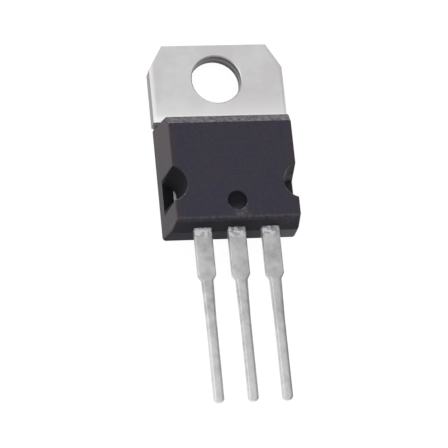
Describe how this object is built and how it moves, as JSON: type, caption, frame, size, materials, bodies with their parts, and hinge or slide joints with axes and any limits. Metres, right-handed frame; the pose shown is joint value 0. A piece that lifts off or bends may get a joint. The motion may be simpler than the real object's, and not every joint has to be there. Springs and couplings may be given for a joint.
{
  "type": "voltage regulator",
  "caption": "Through-hole voltage regulator: black moulded body on a tinned metal heat tab with a mounting hole, and flat leads in a row.",
  "frame": {"origin": "centre of the mounting hole on the back face of the tab", "axes": "+Z out of the moulded front face, normal to the tab; +Y towards the tab's free edge, away from the leads; +X completes the right-handed frame"},
  "size_m": [0.0102, 0.0288, 0.0045],
  "materials": {
    "tinned_tab": "satin tin plate on stamped copper",
    "tinned_lead": "matte tin plate on stamped copper",
    "moulded_epoxy": "matte moulded epoxy, finely spark-eroded texture",
    "silicon": "polished silicon",
    "solder": "satin solder",
    "bond_wire": "drawn aluminium wire"
  },
  "bodies": {
    "root": {"tab_and_centre_lead": "tinned_tab", "input_lead": "tinned_lead", "output_lead": "tinned_lead", "moulded_body": "moulded_epoxy", "regulator_die": "silicon", "die_attach_solder": "solder", "input_bond_wire": "bond_wire", "output_bond_wire": "bond_wire", "ground_bond_wire": "bond_wire"}
  },
  "joints": []
}
